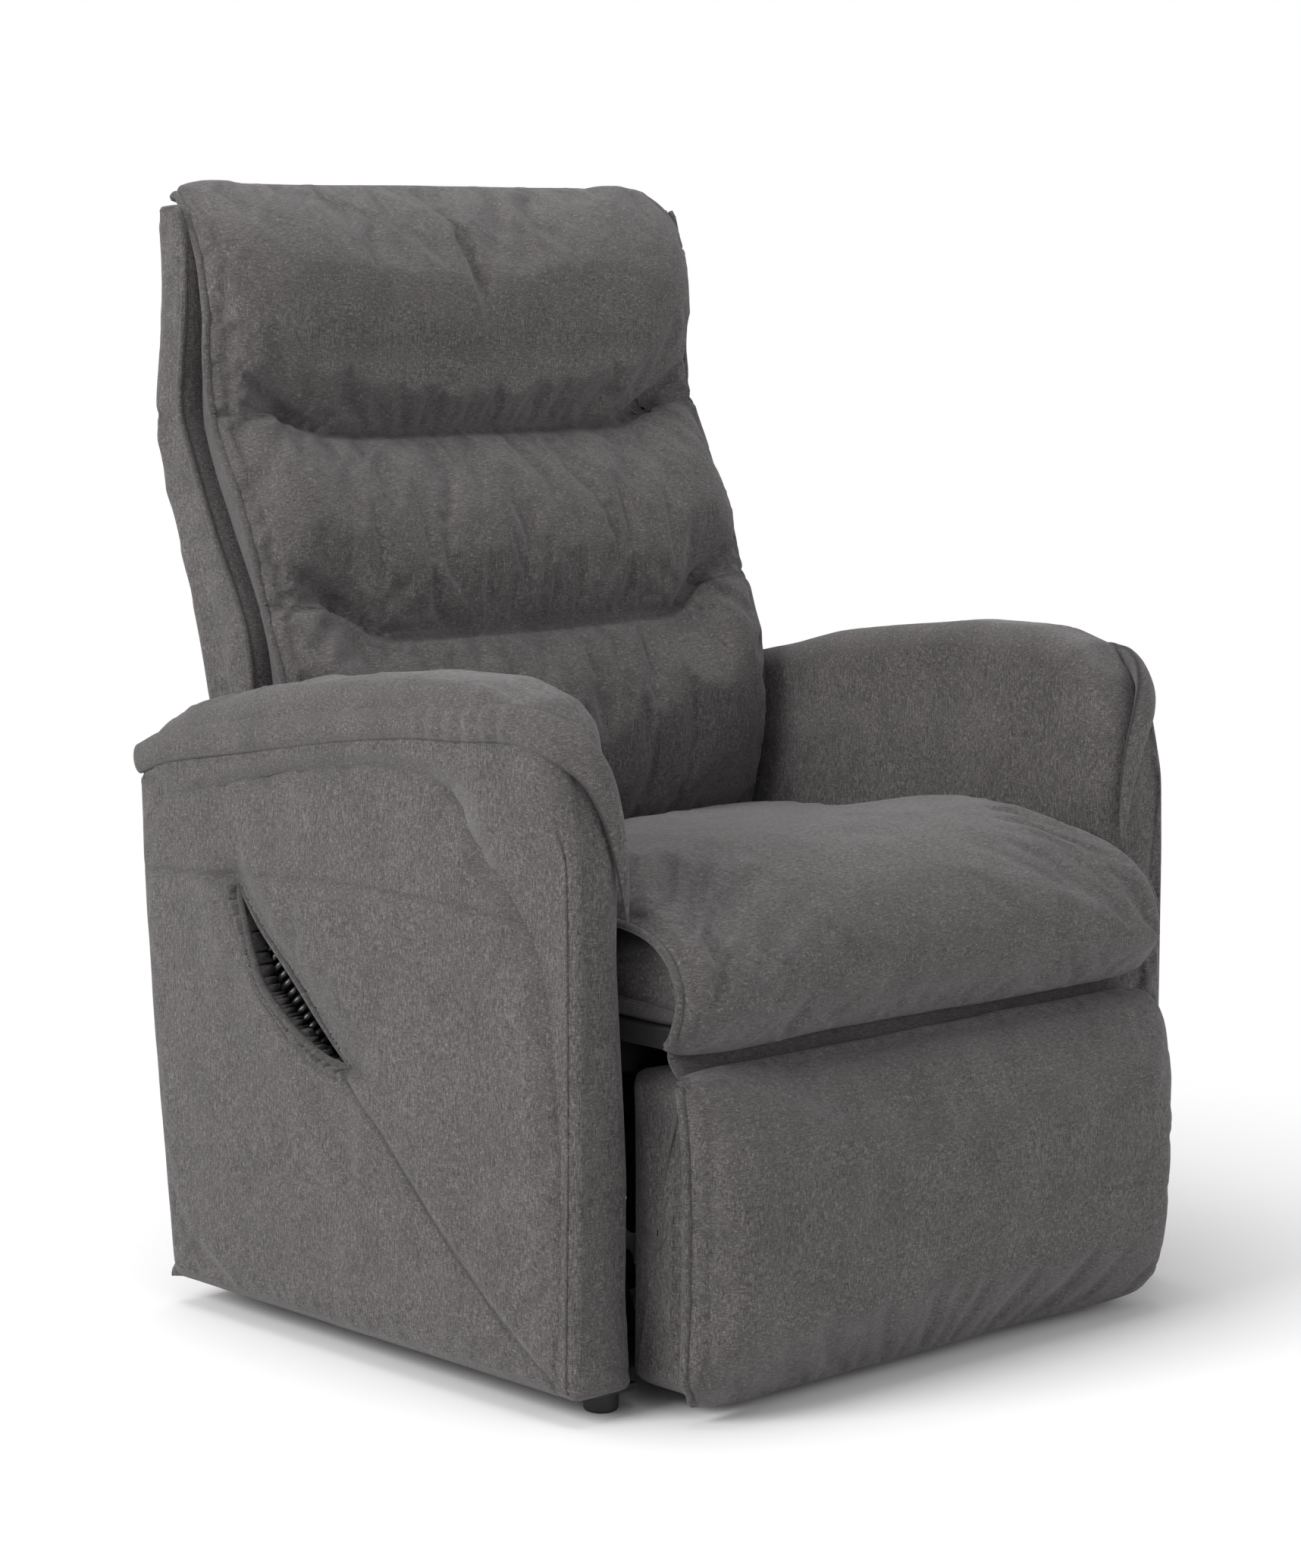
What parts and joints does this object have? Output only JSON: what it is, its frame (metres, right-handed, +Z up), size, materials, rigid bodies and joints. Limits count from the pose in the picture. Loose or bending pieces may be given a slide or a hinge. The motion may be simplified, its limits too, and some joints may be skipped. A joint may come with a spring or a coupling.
{
  "type": "recliner armchair",
  "caption": "Power lift and recline armchair with padded arms, pillow back, hinged headrest, chaise footrest and a handset on a curly cord in a side pocket.",
  "frame": {"origin": "on the floor, at the centre of the bounding box's footprint", "axes": "+Z up, -Y is the way the sitter faces, +X to the sitter's left"},
  "size_m": [0.82, 0.7964, 1.1168],
  "materials": {
    "upholstery": "mottled woven chenille, soft sheen",
    "frame_steel": "satin powder coat",
    "bright_steel": "zinc plated",
    "black_plastic": "moulded, matt",
    "timber": "raw plywood and softwood",
    "webbing": "woven elastic webbing",
    "pocket_cloth": "black lining cloth",
    "foot_rubber": "matt black moulded",
    "handset_shell": "moulded, semi gloss",
    "button_grey": "soft touch",
    "cord_rubber": "glossy PVC"
  },
  "bodies": {
    "base": {"base_frame": "frame_steel", "feet": "foot_rubber", "power_supply": "black_plastic", "mains_inlet": "black_plastic", "lift_motor_pin": "bright_steel"},
    "lift_arms": {"lift_arms": "frame_steel"},
    "front_links": {"front_links": "frame_steel"},
    "lift_motor": {"lift_motor": "black_plastic"},
    "lift_motor_rod": {"lift_motor_rod": "bright_steel"},
    "chassis": {"chassis_frame": "frame_steel", "motor_pins": "bright_steel", "seat_deck": "timber", "seat_webbing": "webbing", "rear_valance": "upholstery", "seat_bolster": "upholstery", "seat_pad": "upholstery", "left_arm_pad": "upholstery", "right_arm_pad": "upholstery", "left_arm_panel": "upholstery", "right_arm_panel": "upholstery", "left_arm_band": "upholstery", "right_arm_band": "upholstery", "left_arm_frame": "timber", "right_arm_frame": "timber", "arm_brackets": "frame_steel", "arm_bolts": "bright_steel", "pocket_lining": "pocket_cloth", "handset": "handset_shell", "handset_gland": "cord_rubber", "handset_cord": "cord_rubber", "handset_socket": "black_plastic"},
    "back": {"back_shell": "upholstery", "back_frame": "frame_steel", "back_webbing": "webbing", "lower_back_pad": "upholstery", "mid_back_pad": "upholstery"},
    "headrest": {"head_shell": "upholstery", "head_pad": "upholstery", "headrest_board": "timber", "headrest_hinges": "frame_steel"},
    "back_motor": {"back_motor": "black_plastic"},
    "back_motor_rod": {"back_motor_rod": "bright_steel"},
    "leg_motor": {"leg_motor": "black_plastic"},
    "leg_motor_rod": {"leg_motor_rod": "bright_steel"},
    "leg_links_rear": {"leg_links_rear": "frame_steel"},
    "leg_links_front": {"leg_links_front": "frame_steel"},
    "footrest": {"footrest_body": "upholstery", "footrest_board": "timber", "footrest_brackets": "frame_steel", "footrest_pad": "upholstery"},
    "button_1": {"handset_button_1": "button_grey"},
    "button_2": {"handset_button_2": "button_grey"},
    "button_3": {"handset_button_3": "button_grey"},
    "button_4": {"handset_button_4": "button_grey"}
  },
  "joints": [
    {"name": "lift", "type": "hinge", "parent": "base", "child": "lift_arms", "pos_m": [0, -0.15, 0.075], "axis": [1, 0, 0], "range_deg": [0, 50]},
    {"name": "chassis_tilt", "type": "hinge", "parent": "lift_arms", "child": "chassis", "pos_m": [0, 0.17, 0.095], "axis": [1, 0, 0], "range_deg": [-25.2, 0]},
    {"name": "front_link_swing", "type": "hinge", "parent": "base", "child": "front_links", "pos_m": [0, -0.2, 0.11], "axis": [1, 0, 0], "range_deg": [0, 59.5]},
    {"name": "lift_motor_swing", "type": "hinge", "parent": "base", "child": "lift_motor", "pos_m": [0, 0.215, 0.065], "axis": [1, 0, 0], "range_deg": [0, 6.6]},
    {"name": "lift_motor_stroke", "type": "slide", "parent": "lift_motor", "child": "lift_motor_rod", "axis": [0, -0.9645, 0.2642], "range_m": [0, 0.062]},
    {"name": "back_recline", "type": "hinge", "parent": "chassis", "child": "back", "pos_m": [0, 0.25, 0.4], "axis": [1, 0, 0], "range_deg": [-38, 0]},
    {"name": "back_motor_swing", "type": "hinge", "parent": "chassis", "child": "back_motor", "pos_m": [0, -0.14, 0.2], "axis": [1, 0, 0], "range_deg": [0, 2.3]},
    {"name": "back_motor_stroke", "type": "slide", "parent": "back_motor", "child": "back_motor_rod", "axis": [0, 0.9647, 0.2635], "range_m": [-0.058, 0]},
    {"name": "headrest_tilt", "type": "hinge", "parent": "back", "child": "headrest", "pos_m": [0, 0.352, 0.87], "axis": [1, 0, 0], "range_deg": [0, 15]},
    {"name": "footrest_raise", "type": "hinge", "parent": "chassis", "child": "footrest", "pos_m": [0, -0.322, 0.385], "axis": [1, 0, 0], "range_deg": [-85, 0]},
    {"name": "rear_leg_link_swing", "type": "hinge", "parent": "chassis", "child": "leg_links_rear", "pos_m": [0, -0.22, 0.29], "axis": [1, 0, 0], "range_deg": [-84.2, 0]},
    {"name": "front_leg_link_swing", "type": "hinge", "parent": "leg_links_rear", "child": "leg_links_front", "pos_m": [0, -0.189, 0.143], "axis": [1, 0, 0], "range_deg": [0, 84.2]},
    {"name": "leg_motor_swing", "type": "hinge", "parent": "chassis", "child": "leg_motor", "pos_m": [0, 0.06, 0.25], "axis": [1, 0, 0], "range_deg": [-7.8, 0]},
    {"name": "leg_motor_stroke", "type": "slide", "parent": "leg_motor", "child": "leg_motor_rod", "axis": [0, -0.9976, -0.0697], "range_m": [0, 0.071]},
    {"name": "button_1_press", "type": "slide", "parent": "chassis", "child": "button_1", "axis": [1, 0, 0], "range_m": [0, 0.0012], "stiffness_N_per_m": 400, "springref_m": -0.0006},
    {"name": "button_2_press", "type": "slide", "parent": "chassis", "child": "button_2", "axis": [1, 0, 0], "range_m": [0, 0.0012], "stiffness_N_per_m": 400, "springref_m": -0.0006},
    {"name": "button_3_press", "type": "slide", "parent": "chassis", "child": "button_3", "axis": [1, 0, 0], "range_m": [0, 0.0012], "stiffness_N_per_m": 400, "springref_m": -0.0006},
    {"name": "button_4_press", "type": "slide", "parent": "chassis", "child": "button_4", "axis": [1, 0, 0], "range_m": [0, 0.0012], "stiffness_N_per_m": 400, "springref_m": -0.0006}
  ],
  "couplings": [
    {"joint": "chassis_tilt", "follows": "lift", "ratio": -0.5},
    {"joint": "front_link_swing", "follows": "lift", "ratio": 1.183},
    {"joint": "lift_motor_swing", "follows": "lift", "ratio": 0.1287},
    {"joint": "lift_motor_stroke", "follows": "lift", "m_per_rad": 0.069632},
    {"joint": "back_motor_swing", "follows": "back_recline", "ratio": -0.05758},
    {"joint": "back_motor_stroke", "follows": "back_recline", "m_per_rad": 0.08568},
    {"joint": "rear_leg_link_swing", "follows": "footrest_raise", "ratio": 0.988},
    {"joint": "front_leg_link_swing", "follows": "footrest_raise", "ratio": -0.9866},
    {"joint": "leg_motor_swing", "follows": "footrest_raise", "ratio": 0.09005},
    {"joint": "leg_motor_stroke", "follows": "footrest_raise", "m_per_rad": -0.04685}
  ]
}
